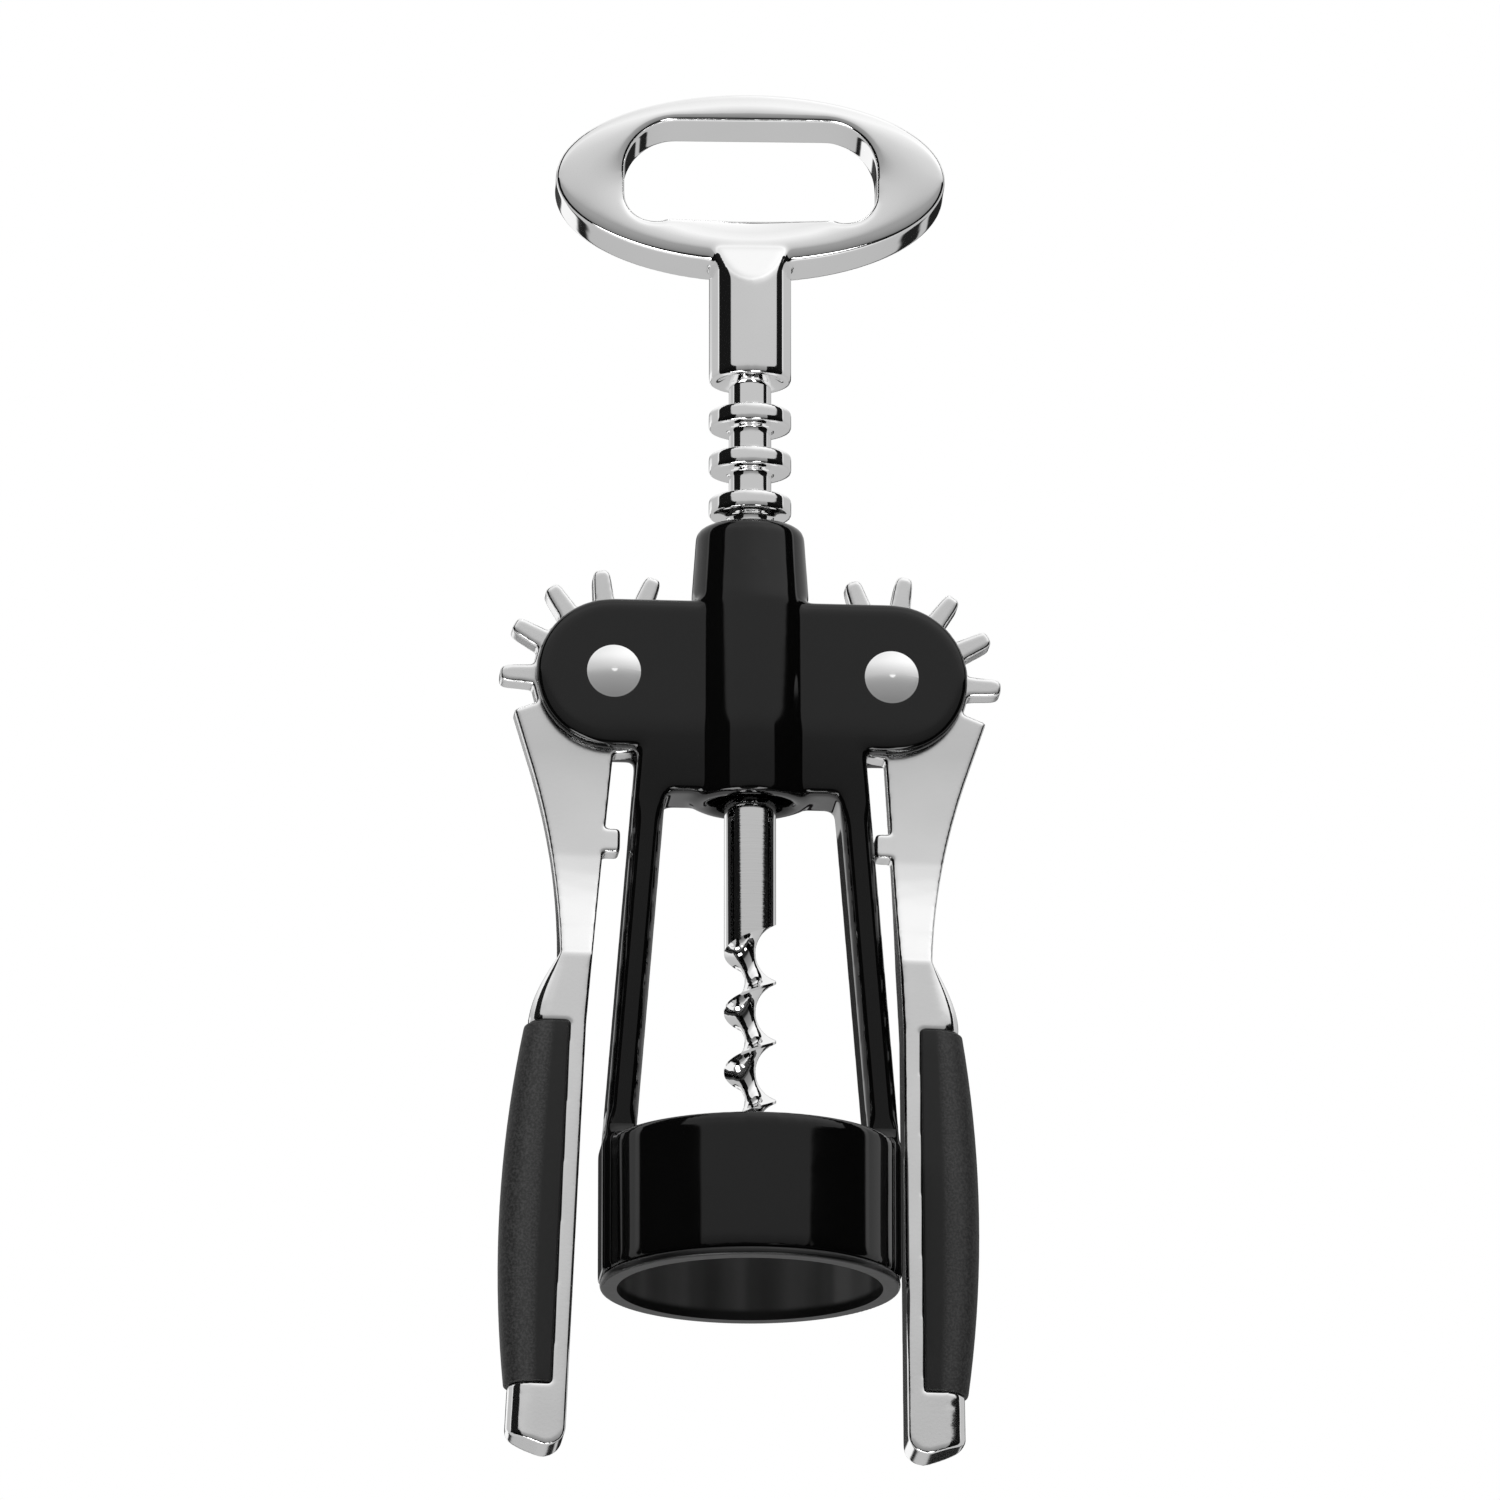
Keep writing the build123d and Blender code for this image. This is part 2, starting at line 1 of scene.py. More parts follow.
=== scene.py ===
import bmesh
import bpy
import json
import math
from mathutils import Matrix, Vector


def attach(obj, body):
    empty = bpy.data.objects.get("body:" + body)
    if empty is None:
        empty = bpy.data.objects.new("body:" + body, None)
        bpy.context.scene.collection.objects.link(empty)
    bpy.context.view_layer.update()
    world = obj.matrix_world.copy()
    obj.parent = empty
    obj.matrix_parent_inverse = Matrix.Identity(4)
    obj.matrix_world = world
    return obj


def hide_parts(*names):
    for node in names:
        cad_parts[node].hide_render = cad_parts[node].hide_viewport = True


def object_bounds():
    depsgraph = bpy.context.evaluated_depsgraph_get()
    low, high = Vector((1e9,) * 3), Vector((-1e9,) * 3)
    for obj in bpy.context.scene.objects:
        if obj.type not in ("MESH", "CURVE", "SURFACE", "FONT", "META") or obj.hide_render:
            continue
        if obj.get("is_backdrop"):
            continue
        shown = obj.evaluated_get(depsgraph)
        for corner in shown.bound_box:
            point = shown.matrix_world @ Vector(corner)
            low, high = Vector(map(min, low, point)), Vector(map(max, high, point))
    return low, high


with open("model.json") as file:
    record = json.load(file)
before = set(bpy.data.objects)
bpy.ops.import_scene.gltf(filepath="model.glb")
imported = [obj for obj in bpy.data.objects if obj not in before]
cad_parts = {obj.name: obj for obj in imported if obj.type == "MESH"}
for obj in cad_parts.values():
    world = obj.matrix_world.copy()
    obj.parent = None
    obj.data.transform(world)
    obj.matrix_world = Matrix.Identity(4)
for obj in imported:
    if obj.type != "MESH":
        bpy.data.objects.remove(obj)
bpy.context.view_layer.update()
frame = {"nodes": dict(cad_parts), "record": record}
print("frame loaded")


class Wire:  # a socket that can be used in a plain expression
    def __init__(self, tree, socket):
        self.tree = tree
        self.socket = socket

    def math(self, operation, first, second=0.0, third=0.0):
        values = {0: first, 1: second, 2: third}
        return addNode(self.tree, "ShaderNodeMath", {"operation": operation}, values)

    def __add__(self, other):
        return self.math("ADD", self, other)

    def __sub__(self, other):
        return self.math("SUBTRACT", self, other)

    def __rsub__(self, other):
        return self.math("SUBTRACT", other, self)

    def __mul__(self, other):
        return self.math("MULTIPLY", self, other)

    __radd__ = __add__
    __rmul__ = __mul__

    def of(self, operation):  # a function of this value alone, such as its sine
        return self.math(operation, self)

    def between(self, low, high, soft):  # 1 inside the two limits, easing out over soft
        rise = self.ramp(low - soft, low + soft)
        fall = self.ramp(high - soft, high + soft)
        return rise - fall

    def ramp(self, start, end, fromValue=0.0, toValue=1.0):
        return addNode(self.tree, "ShaderNodeMapRange", {"interpolation_type": "SMOOTHSTEP"}, {
            "Value": self, "From Min": start, "From Max": end, "To Min": fromValue, "To Max": toValue,
        })


def addNode(tree, kind, settings=None, sockets=None, output=0):
    node = tree.nodes.new(kind)
    for name, value in (settings or {}).items():
        if name == "stops":
            ramp = node.color_ramp
            while len(ramp.elements) < len(value):
                ramp.elements.new(1.0)
            for element, (place, colour) in zip(ramp.elements, value):
                element.position = place
                element.color = colour
        else:
            setattr(node, name, value)
    for name, value in (sockets or {}).items():
        if isinstance(value, Wire):
            tree.links.new(value.socket, node.inputs[name])
        else:
            node.inputs[name].default_value = value
    return Wire(tree, node.outputs[output]) if node.outputs else None


def grey(value):
    return (value, value, value, 1.0)


class Finish:  # one material, started from its constants on the Principled shader
    def __init__(self, name, **constants):
        self.material = bpy.data.materials.new(name)
        self.material.use_nodes = True
        self.tree = self.material.node_tree
        self.shader = self.tree.nodes["Principled BSDF"]
        for socket, value in constants.items():
            self.shader.inputs[socket].default_value = value
        self.place = self.add("ShaderNodeTexCoord", output="Object")

    def add(self, kind, settings=None, sockets=None, output=0):
        return addNode(self.tree, kind, settings, sockets, output)

    def feed(self, socket, wire):
        self.tree.links.new(wire.socket, self.shader.inputs[socket])

    def noise(self, scale, detail=3.0, rough=0.55, stretch=(1, 1, 1)):
        where = self.add("ShaderNodeMapping", None, {"Vector": self.place, "Scale": stretch})
        return self.add("ShaderNodeTexNoise", None, {
            "Vector": where, "Scale": scale, "Detail": detail, "Roughness": rough,
        })

    def along(self, axis):  # distance from the origin along an axis
        return self.add("ShaderNodeSeparateXYZ", None, {"Vector": self.place}, output=axis)

    def bump(self, height):  # height in metres
        self.feed("Normal", self.add("ShaderNodeBump", None, {"Height": height, "Distance": 1.0}))

    def tint(self, factor, dark, light):
        self.feed("Base Color", self.add("ShaderNodeMix", {"data_type": "RGBA"}, {
            "Factor": factor, "A": grey(dark), "B": grey(light),
        }, output="Result"))


# in every look, patterns are given as noise scales and lengths in metres
paintLook = {
    "dark": 0.0010,
    "light": 0.0022,
    "wear": 60,
    "rough": 0.04,
    "roughMore": 0.03,
    "handling": 250,
    "peel": 420,                   # orange peel of the coating, over slow sags in the casting
    "peelHeight": 0.000002,
    "sagging": 45,
    "sagHeight": 0.00005,
}
legLook = {
    "footX": 0.01766,              # outside of a leg, at the bell and at the cheeks
    "footZ": 0.0176,
    "topX": 0.01375,
    "topZ": 0.0658,
    "width": 0.00375,
    "flat": 0.35,                  # share of the half width that has no step
    "step": 0.0006,
    "footFade": (0.001, 0.004),    # above the foot, and below the top
    "topFade": (0.01, 0.006),
}
leanLook = {"starts": 0.0656, "soft": 0.005, "ends": 0.019, "slope": 0.14}


def legSteps(paint, look):  # the faces of the frame's legs drop a little towards their edges
    z = paint.along("Z")
    slope = (look["topX"] - look["footX"]) / (look["topZ"] - look["footZ"])
    middle = look["footX"] - look["width"] / 2 + slope * (z - look["footZ"])
    off = (paint.along("X").of("ABSOLUTE") - middle).of("ABSOLUTE") * (2 / look["width"])
    aboveFoot = z.ramp(*[look["footZ"] + fade for fade in look["footFade"]])
    nearTop = z.ramp(*[look["topZ"] - fade for fade in look["topFade"]])
    return -look["step"] * (off.ramp(look["flat"], 1.0) * (aboveFoot * (1.0 - nearTop)))


def lowerLean(paint, look):  # below the pivots the casting's faces turn down a little
    below = paint.along("Z") - look["starts"]
    below = below.math("SMOOTH_MIN", below, 0.0, look["soft"])
    return look["slope"] * below.math("MAXIMUM", below, look["ends"] - look["starts"])


def glossyPaint(look):
    paint = Finish("glossyBlackPaint", IOR=1.5)
    paint.tint(paint.noise(look["wear"]), look["dark"], look["light"])
    paint.feed("Roughness", look["rough"] + look["roughMore"] * paint.noise(look["handling"], detail=4))
    sags = look["sagHeight"] * paint.noise(look["sagging"], detail=1)
    peel = look["peelHeight"] * paint.noise(look["peel"], detail=1)
    paint.bump(sags + peel + legSteps(paint, legLook) + lowerLean(paint, leanLook))
    return paint.material


plasticLook = {
    "lip": 0.003,                  # tone of the lip, and the darker and lighter streaks inside
    "dark": 0.022,
    "light": 0.075,
    "lipEdge": (0.00084, 0.00156),
    "streak": 150,
    "streakStretch": (1, 1, 0.04),
    "streakEdge": (0.35, 0.65),
    "rough": 0.3,
    "roughMore": 0.1,
    "handling": 900,
    "turning": 5200,
    "turningStretch": (0.02, 0.02, 1),
    "turningHeight": 0.000003,
}


def mouldedPlastic(look):
    plastic = Finish("blackPlastic", IOR=1.5)
    streaks = plastic.noise(look["streak"], detail=2, stretch=look["streakStretch"])
    streaks = streaks.ramp(*look["streakEdge"])
    inside = plastic.along("Z").ramp(*look["lipEdge"])
    tone = look["dark"] - look["lip"] + (look["light"] - look["dark"]) * streaks
    plastic.tint(look["lip"] + inside * tone, 0.0, 1.0)
    plastic.feed("Roughness", look["rough"] + look["roughMore"] * plastic.noise(look["handling"], detail=4))
    turning = plastic.noise(look["turning"], detail=2, stretch=look["turningStretch"])
    plastic.bump(look["turningHeight"] * turning)
    return plastic.material


chromeLook = {
    "dark": 0.9,
    "light": 0.97,
    "haze": 70,
    "rough": 0.03,
    "roughMore": 0.03,
    "handling": 300,
    "wave": 90,
    "waveHeight": 0.00001,
}


def brightChrome(look):
    chrome = Finish("brightChrome", Metallic=1.0)
    chrome.tint(chrome.noise(look["haze"]), look["dark"], look["light"])
    chrome.feed("Roughness", look["rough"] + look["roughMore"] * chrome.noise(look["handling"], detail=5))
    chrome.bump(look["waveHeight"] * chrome.noise(look["wave"], detail=1))
    return chrome.material


leverLook = {
    "dark": 0.9,
    "light": 0.98,
    "haze": 120,
    "polish": 0.05,                # roughness of the handle, and of the plate above it
    "satin": 0.17,
    "satinEdge": (0.036, 0.052),
    "roughMore": 0.06,
    "scuff": 700,
    "scuffStretch": (1, 1, 0.12),
    "grit": 2600,
    "scuffHeight": 0.000002,
    "wave": 60,
    "waveHeight": 0.00012,
    "bendStarts": 0.066,           # the plate curves out below this height
    "bendLength": 0.022,
    "bend": 1.6,
    "handleStarts": 0.041,
    "handleTilt": 0.02,
}


def leverBend(chrome, look):  # a faint set in the casting
    below = chrome.along("Z") - look["bendStarts"]
    below = below.math("MINIMUM", below.math("MAXIMUM", below, -look["bendLength"]), 0.0)
    handle = chrome.along("Z") - look["handleStarts"]
    return look["bend"] * (below * below) - look["handleTilt"] * handle.math("MINIMUM", handle, 0.0)


def leverChrome(look):
    chrome = Finish("leverChrome", Metallic=1.0)
    satin = chrome.along("Z").ramp(*look["satinEdge"])
    scuffs = chrome.noise(look["scuff"], detail=6, rough=0.7, stretch=look["scuffStretch"])
    chrome.tint(chrome.noise(look["haze"], detail=5), look["dark"], look["light"])
    rough = look["polish"] + satin * (look["satin"] - look["polish"])
    chrome.feed("Roughness", rough + look["roughMore"] * scuffs)
    waves = look["waveHeight"] * chrome.noise(look["wave"], detail=1)
    grain = look["scuffHeight"] * (scuffs + chrome.noise(look["grit"], detail=2))
    chrome.bump(leverBend(chrome, look) + waves + grain)
    return chrome.material


wormLook = {
    "dark": 0.88,
    "light": 0.98,
    "haze": 200,
    "rough": 0.02,
    "roughMore": 0.04,
    "turning": 6500,
    "turningStretch": (0.03, 0.03, 1),
    "turningHeight": 0.0000012,
}


def turnedSteel(look):
    steel = Finish("wormSteel", Metallic=1.0)
    steel.tint(steel.noise(look["haze"], detail=4), look["dark"], look["light"])
    turning = steel.noise(look["turning"], detail=2, stretch=look["turningStretch"])
    steel.feed("Roughness", look["rough"] + look["roughMore"] * turning)
    steel.bump(look["turningHeight"] * turning)
    return steel.material


rivetLook = {
    "dark": 0.94,
    "light": 0.99,
    "haze": 300,
    "rough": 0.17,
    "roughMore": 0.06,
    "handling": 900,
    "dent": 500,
    "dentHeight": 0.000004,
    "pivotX": 0.01677,
    "pivotZ": 0.0751,
    "domeRadius": 0.00517,
    "flatten": 0.5,                # share of the dome's slope that is taken away
}


def flatterDome(steel, look):  # a struck head mirrors less of the room than a true dome
    out = steel.along("X").of("ABSOLUTE") - look["pivotX"]
    up = steel.along("Z") - look["pivotZ"]
    slope = ((out * out + up * up).of("SQRT") * (1 / look["domeRadius"])).of("ARCSINE")
    turn = (slope * look["flatten"]).of("COSINE")
    return (-look["domeRadius"] / look["flatten"]) * turn.math("LOGARITHM", turn, math.e)


def rivetSteel(look):
    steel = Finish("rivetSteel", Metallic=1.0)
    steel.tint(steel.noise(look["haze"], detail=4), look["dark"], look["light"])
    steel.feed("Roughness", look["rough"] + look["roughMore"] * steel.noise(look["handling"], detail=4))
    steel.bump(flatterDome(steel, look) + look["dentHeight"] * steel.noise(look["dent"], detail=1))
    return steel.material


rubberLook = {
    "flat": 0.012,                 # tone of the smooth inner part, then of the grain
    "dark": 0.012,
    "light": 0.034,
    "grainEdge": (0.3, 0.42),      # across the grip, 0 on its inner side and 1 on its outer
    "grain": 3400,
    "speckle": (0.35, 0.7),
    "grainHeight": 0.00004,
    "smoothShare": 0.15,           # how much of the grain's height the smooth part has
    # painted sheen: a lighter band across the middle of the grip's rounded outer part, standing in for a
    # soft highlight
    "paintedSheen": (0.42, 0.72, 0.12),
    "paintedSheenTone": 0.012,
    # painted shade: from this share across outwards, the grip's rounded outer side is made darker, as if it
    # turned away from the light
    "edge": 0.72,
    "outerShadeTone": 0.006,
    "rough": 0.5,
    "roughMore": 0.12,
    "handling": 1800,
}


def gripRubber(look):
    rubber = Finish("gripRubber", IOR=1.4)
    across = rubber.add("ShaderNodeAttribute", {"attribute_name": "across"}, output="Fac")
    grainy = across.ramp(*look["grainEdge"])
    speckle = rubber.noise(look["grain"], detail=2, rough=0.7).ramp(*look["speckle"])
    tone = look["flat"] + grainy * (look["dark"] - look["flat"] + (look["light"] - look["dark"]) * speckle)
    # painted sheen: the grip is made lighter in a band across its rounded outer part
    paintedSheen = look["paintedSheenTone"] * across.between(*look["paintedSheen"])
    # painted shade: the tone is lowered towards the grip's outer edge
    rubber.tint(tone + paintedSheen - look["outerShadeTone"] * across.ramp(look["edge"], 1.0), 0.0, 1.0)
    rubber.feed("Roughness", look["rough"] + look["roughMore"] * rubber.noise(look["handling"], detail=3))
    depth = look["smoothShare"] + (1 - look["smoothShare"]) * grainy
    rubber.bump(look["grainHeight"] * (rubber.noise(look["grain"], detail=2) * depth))
    return rubber.material


finishes = {
    "paint": glossyPaint(paintLook),
    "plastic": mouldedPlastic(plasticLook),
    "chrome": brightChrome(chromeLook),
    "lever": leverChrome(leverLook),
    "worm": turnedSteel(wormLook),
    "rivet": rivetSteel(rivetLook),
    "rubber": gripRubber(rubberLook),
}


def dress(piece, finish):
    piece.data.materials.clear()
    piece.data.materials.append(finishes[finish])


for node, finish in {
    "frame_body": "paint", "bell_liner": "plastic", "opener_head": "chrome", "ring_rack": "chrome",
    "worm": "worm", "left_lever": "lever", "right_lever": "lever",
    "left_rivet": "rivet", "right_rivet": "rivet",
}.items():
    dress(frame["nodes"][node], finish)
print("finishes made")


# cast and polished, so their edges run softly into each other; turn squares a piece up in its mould
castings = {
    "opener_head": {"name": "openerHeadCast", "body": "handle", "slot": "chrome", "finish": "chrome",
                    "voxel": 0.0002, "softTurns": 32, "turn": (0, 0, 2.8)},
    "frame_body": {"name": "frameCast", "body": "frame", "slot": "gloss_black_frame", "finish": "paint",
                   "voxel": 0.00038, "softTurns": 9, "turn": (0, 0, 0)},
    "ring_rack": {"name": "ringRackCast", "body": "rack", "slot": "chrome", "finish": "chrome",
                  "voxel": 0.00022, "softTurns": 4, "turn": (0, 0, 0)},
    "left_lever": {"name": "leftLeverCast", "body": "left_lever", "slot": "chrome", "finish": "lever",
                   "voxel": 0.0002, "softTurns": 10, "turn": (0, -1.1, 0)},
    "right_lever": {"name": "rightLeverCast", "body": "right_lever", "slot": "chrome", "finish": "lever",
                    "voxel": 0.0002, "softTurns": 10, "turn": (0, -1.1, 0)},
}
mouldValues = {
    "merge": 0.000001,             # corners nearer to each other than this are joined
    "soften": 0.5,                 # how far each of the softTurns goes
}
headBack = {                       # the loop's flat back; below it the socket may stand out by the taper
    "place": 0.0049,
    "loopStarts": 0.128,
    "taper": 0.011,
}


def turnPiece(piece, degrees):
    piece.rotation_euler = [math.radians(angle) for angle in degrees]
    bpy.ops.object.transform_apply(location=False, rotation=True, scale=False)


def trimBack(piece):  # the socket's round top runs up flush with the loop's back
    for vertex in piece.data.vertices:
        below = max(headBack["loopStarts"] - vertex.co.z, 0.0)
        vertex.co.y = min(vertex.co.y, headBack["place"] + headBack["taper"] * below)


def makeCasting(node, shape):
    cast = bpy.data.objects.new(shape["name"], frame["nodes"][node].data.copy())
    bpy.context.collection.objects.link(cast)
    bpy.ops.object.select_all(action="DESELECT")
    bpy.context.view_layer.objects.active = cast
    cast.select_set(True)
    bpy.ops.object.mode_set(mode="EDIT")
    bpy.ops.mesh.select_all(action="SELECT")
    bpy.ops.mesh.remove_doubles(threshold=mouldValues["merge"])
    bpy.ops.object.mode_set(mode="OBJECT")
    turnPiece(cast, shape["turn"])
    mould = cast.modifiers.new("mould", "REMESH")
    mould.mode = "VOXEL"
    mould.voxel_size = shape["voxel"]
    bpy.ops.object.modifier_apply(modifier=mould.name)
    if node == "opener_head":
        trimBack(cast)
    polish = cast.modifiers.new("polish", "SMOOTH")
    polish.factor = mouldValues["soften"]
    polish.iterations = shape["softTurns"]
    bpy.ops.object.modifier_apply(modifier=polish.name)
    turnPiece(cast, [-angle for angle in shape["turn"]])
    bpy.ops.object.shade_smooth()
    dress(cast, shape["finish"])
    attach(cast, shape["body"])
    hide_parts(node)
    print(shape["name"], "has", 2 * len(cast.data.polygons), "triangles")


for node, shape in castings.items():
    makeCasting(node, shape)
print("castings modelled")


# in metres from the lever's pivot, before the lever leans
gripShape = {
    "top": -0.0435,
    "length": 0.0443,
    "depth": 0.0077,
    "insideTop": 0.00433,          # inner side, out from the pivot, at the top and at the bottom
    "insideBottom": 0.00552,
    "widthTop": 0.0052,
    "widthMiddle": 0.0070,
    "widthBottom": 0.00545,
    "outerRound": 0.0034,          # each rounding is followed by its number of facets
    "outerFacets": 14,
    "innerRound": 0.0003,
    "innerFacets": 3,
    "endRound": 0.00035,
    "endFacets": 4,
    "rings": 18,
    "lean": 1.1,                   # degrees, as the levers rest
    "ribDepth": 0.0035,            # the chromed rib inside
    "ribCover": 0.0025,            # rubber outside it
    "ribPast": 0.001,              # how far its cutter reaches past the rubber
    "split": 0.0018,               # what is nearer to the inner side than this keeps its place in a ring
    "crease": 32,                  # degrees
}
near = 0.00001                     # two places closer than this are the same


def startBlock(name, low, high):  # block between two corners
    bpy.ops.object.select_all(action="DESELECT")
    size = [b - a for a, b in zip(low, high)]
    centre = [(a + b) / 2 for a, b in zip(low, high)]
    bpy.ops.mesh.primitive_cube_add(size=1, location=centre)
    block = bpy.context.object
    block.name = name
    block.scale = size
    bpy.ops.object.transform_apply(location=True, rotation=True, scale=True)
    return block


def pick(piece, kind, test):  # selects the vertices or edges that pass the test
    bpy.ops.mesh.select_mode(type=kind)
    bpy.ops.mesh.select_all(action="DESELECT")
    mesh = bmesh.from_edit_mesh(piece.data)
    for item in {"VERT": mesh.verts, "EDGE": mesh.edges}[kind]:
        if test(item):
            item.select_set(True)
    mesh.select_flush_mode()
    bmesh.update_edit_mesh(piece.data)


def cutRings(levels):
    for level in levels:
        bpy.ops.mesh.select_all(action="SELECT")
        bpy.ops.mesh.bisect(plane_co=(0, 0, level), plane_no=(0, 0, 1))


def gripInside(share):  # share of the length, down from the top
    return gripShape["insideTop"] + share * (gripShape["insideBottom"] - gripShape["insideTop"])


def gripWidth(share):  # parabola through the three widths
    t = 2 * share - 1
    ends = (gripShape["widthTop"] + gripShape["widthBottom"]) / 2
    taper = (gripShape["widthBottom"] - gripShape["widthTop"]) / 2
    return gripShape["widthMiddle"] + t * taper + t * t * (ends - gripShape["widthMiddle"])


def swellRings(piece, side, levels):  # moves each ring to its place and its outer half to its width
    start = gripShape["insideTop"]
    split = start + gripShape["split"]
    for level in levels:
        share = (gripShape["top"] - level) / gripShape["length"]
        shift = side * (gripInside(share) - start)
        swell = side * (gripWidth(share) - gripShape["widthTop"])
        pick(piece, "VERT", lambda v: abs(v.co.z - level) < near and side * v.co.x > split)
        bpy.ops.transform.translate(value=(swell, 0, 0))
        pick(piece, "VERT", lambda v: abs(v.co.z - level) < near)
        bpy.ops.transform.translate(value=(shift, 0, 0))


def alongHeight(edge):  # whether it runs from one end of the block to the other
    a, b = edge.verts
    return abs(a.co.z - b.co.z) > gripShape["length"] - near


def cutRibSlot(piece, side, levels):  # the rubber is moulded round a chromed rib
    half = gripShape["ribDepth"] / 2
    past = gripShape["ribPast"]
    start = gripShape["insideTop"]
    reach = start + gripShape["widthTop"] - gripShape["ribCover"]
    xs = sorted((side * (start - past), side * reach))
    rib = startBlock("gripRib", (xs[0], -half, levels[-1]), (xs[1], half, levels[0]))
    bpy.ops.object.mode_set(mode="EDIT")
    cutRings(levels[1:-1])
    swellRings(rib, side, levels)
    for place, step in ((levels[0], past), (levels[-1], -past)):
        pick(rib, "VERT", lambda v: abs(v.co.z - place) < near)
        bpy.ops.transform.translate(value=(0, 0, step))
    bpy.ops.object.mode_set(mode="OBJECT")
    bpy.ops.object.select_all(action="DESELECT")
    bpy.context.view_layer.objects.active = piece
    piece.select_set(True)
    cut = piece.modifiers.new("ribSlot", "BOOLEAN")
    cut.operation = "DIFFERENCE"
    cut.solver = "MANIFOLD"
    cut.object = rib
    bpy.ops.object.modifier_apply(modifier=cut.name)
    bpy.data.objects.remove(rib)


def markAcross(piece, side):  # 0 on the inner side, 1 on the outer: the moulded grain, the painted sheen band and the painted shade at the outer edge follow it
    across = piece.data.attributes.new("across", "FLOAT", "POINT")
    for vertex, mark in zip(piece.data.vertices, across.data):
        share = (gripShape["top"] - vertex.co.z) / gripShape["length"]
        mark.value = (side * vertex.co.x - gripInside(share)) / gripWidth(share)


def makeGrip(name, side, node, body, pivot):
    shape = gripShape
    inside = shape["insideTop"]
    outside = inside + shape["widthTop"]
    middle = side * (inside + outside) / 2
    half = shape["depth"] / 2
    levels = [shape["top"] - shape["length"] * n / shape["rings"] for n in range(shape["rings"] + 1)]
    xs = sorted((side * inside, side * outside))
    grip = startBlock(name, (xs[0], -half, levels[-1]), (xs[1], half, levels[0]))
    bpy.ops.object.mode_set(mode="EDIT")
    pick(grip, "EDGE", lambda e: alongHeight(e) and side * (e.verts[0].co.x - middle) > 0)
    bpy.ops.mesh.bevel(offset=shape["outerRound"], segments=shape["outerFacets"], affect="EDGES")
    pick(grip, "EDGE", lambda e: alongHeight(e) and abs(e.verts[0].co.x) < inside + near)
    bpy.ops.mesh.bevel(offset=shape["innerRound"], segments=shape["innerFacets"], affect="EDGES")
    cutRings(levels[1:-1])
    swellRings(grip, side, levels)
    for level in (levels[0], levels[-1]):
        pick(grip, "EDGE", lambda e: all(abs(v.co.z - level) < near for v in e.verts))
        bpy.ops.mesh.bevel(
            offset=shape["endRound"], segments=shape["endFacets"], affect="EDGES", clamp_overlap=True)
    bpy.ops.object.mode_set(mode="OBJECT")
    cutRibSlot(grip, side, levels)
    markAcross(grip, side)
    grip.rotation_euler = (0, math.radians(shape["lean"]), 0)
    grip.location = pivot
    bpy.ops.object.transform_apply(location=True, rotation=True, scale=True)
    bpy.ops.object.shade_smooth_by_angle(angle=math.radians(shape["crease"]))
    dress(grip, "rubber")
    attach(grip, body)
    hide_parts(node)


def pivotOf(joint):
    for entry in frame["record"]["behaviour"]["joints"]:
        if entry["name"] == joint:
            return entry["pos_m"]


makeGrip("leftGripRubber", -1, "left_grip", "left_lever", pivotOf("left_lever_pivot"))
makeGrip("rightGripRubber", 1, "right_grip", "right_lever", pivotOf("right_lever_pivot"))
print("grips modelled")


floorLook = {
    "gap": 0.0004,                 # under the lowest point of the object
    "size": 9.0,
    "colour": 0.8,
    "cameraGlow": 0.6,             # share of plain white that the camera sees in it
}


def makeFloor(look):
    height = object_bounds()[0][2] - look["gap"]
    bpy.ops.object.select_all(action="DESELECT")
    bpy.ops.mesh.primitive_plane_add(size=look["size"], location=(0, 0, height))
    floor = bpy.context.object
    floor.name = "studioFloor"
    bpy.ops.object.transform_apply(location=True, rotation=True, scale=True)
    material = bpy.data.materials.new("paleFloor")
    material.use_nodes = True
    tree = material.node_tree
    tree.nodes.clear()
    paper = addNode(tree, "ShaderNodeBsdfDiffuse", None, {"Color": grey(look["colour"])})
    glow = addNode(tree, "ShaderNodeEmission", None, {"Color": grey(1.0), "Strength": 1.0})
    clear = addNode(tree, "ShaderNodeBsdfTransparent")
    seen = addNode(tree, "ShaderNodeLightPath", output="Is Camera Ray")
    shiny = addNode(tree, "ShaderNodeLightPath", output="Is Glossy Ray")
    under = addNode(tree, "ShaderNodeNewGeometry", output="Backfacing")
    top = addNode(tree, "ShaderNodeMixShader", None, {0: look["cameraGlow"] * seen, 1: paper, 2: glow})
    hidden = under.math("MAXIMUM", under, shiny)
    both = addNode(tree, "ShaderNodeMixShader", None, {0: hidden, 1: top, 2: clear})
    addNode(tree, "ShaderNodeOutputMaterial", None, {"Surface": both})
    floor.data.materials.append(material)
    floor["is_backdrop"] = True


# what shiny surfaces see: light by elevation in degrees, in front of the object and behind it
frontLight = [
    (-80, 0.3), (-54, 0.02), (-34, 0.02), (-26, 0.2), (2, 0.3), (12, 0.36),
    (16, 0.55), (19, 0.62), (24, 0.7), (36, 0.98), (52, 0.9), (80, 1.0),
]
backLight = [(-60, 0.95), (-40, 0.55), (-10, 0.5), (20, 0.55), (34, 0.95)]
sideLean = {                       # high up in front, the light grows from left to right
    "across": (-40, 40),
    "change": (-0.12, 0.14),
    "up": (17, 21),
}
cards = {                          # tall dark sheets either side of the object, azimuth 0 in front
    "leftOuter": -102,
    "leftLow": -43,                # inner edge, under the slant and over it
    "leftHigh": -60,
    "rightOuter": 98,
    "rightLow": 43,
    "rightHigh": 76,
    "slant": (13.8, 17.4),
    "up": (-60, 68, 4),
    "inSoft": 1.5,
    "outSoft": 1,
    "edge": 5,                     # paler strip outside each sheet
    "edgeLight": 0.25,
    "dark": 0.985,
}
